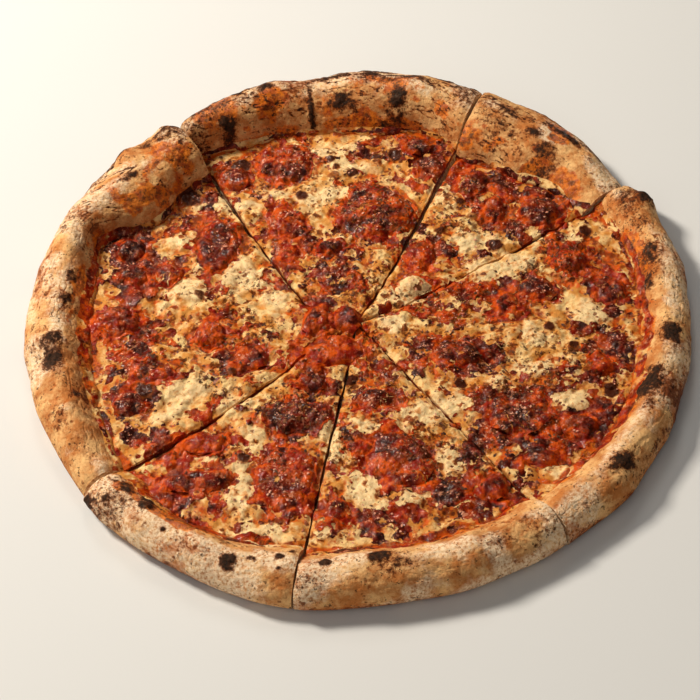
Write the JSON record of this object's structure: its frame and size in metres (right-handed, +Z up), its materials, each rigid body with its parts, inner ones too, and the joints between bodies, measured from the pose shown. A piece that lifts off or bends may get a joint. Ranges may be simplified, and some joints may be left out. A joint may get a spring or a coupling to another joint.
{
  "type": "vegetable pizza",
  "caption": "Round wood-fired style pizza with a raised charred rim, melted cheese and roasted tomato pieces, cut into slices that lie together",
  "frame": {"origin": "middle of the pizza on the plane of its underside", "axes": "+Z up out of the topping, +Y towards the far, higher side of the rim, +X to the right of it"},
  "size_m": [0.3315, 0.3433, 0.029],
  "materials": {
    "crust": "matte",
    "sauce": "satin",
    "cheese": "satin",
    "tomato": "satin"
  },
  "bodies": {
    "root": {"cheese_a": "cheese", "cheese_b": "cheese", "cheese_c": "cheese", "cheese_d": "cheese", "cheese_e": "cheese", "cheese_f": "cheese", "crust_a": "crust", "crust_b": "crust", "crust_c": "crust", "crust_d": "crust", "crust_e": "crust", "crust_f": "crust", "sauce_a": "sauce", "sauce_b": "sauce", "sauce_c": "sauce", "sauce_d": "sauce", "sauce_e": "sauce", "sauce_f": "sauce", "tomato_a1": "tomato", "tomato_a2": "tomato", "tomato_a3": "tomato", "tomato_a4": "tomato", "tomato_a5": "tomato", "tomato_a6": "tomato", "tomato_a7": "tomato", "tomato_a8": "tomato", "tomato_a9": "tomato", "tomato_b1": "tomato", "tomato_b2": "tomato", "tomato_b3": "tomato", "tomato_b4": "tomato", "tomato_b5": "tomato", "tomato_b6": "tomato", "tomato_c1": "tomato", "tomato_c2": "tomato", "tomato_c3": "tomato", "tomato_c4": "tomato", "tomato_c5": "tomato", "tomato_d1": "tomato", "tomato_d2": "tomato", "tomato_d3": "tomato", "tomato_d4": "tomato", "tomato_d5": "tomato", "tomato_d6": "tomato", "tomato_d7": "tomato", "tomato_d8": "tomato", "tomato_d9": "tomato", "tomato_e1": "tomato", "tomato_e2": "tomato", "tomato_e3": "tomato", "tomato_e4": "tomato", "tomato_e5": "tomato", "tomato_f1": "tomato", "tomato_f2": "tomato", "tomato_f3": "tomato", "tomato_f4": "tomato", "tomato_f5": "tomato", "tomato_middle_1": "tomato", "tomato_middle_2": "tomato", "tomato_middle_3": "tomato"}
  },
  "joints": []
}
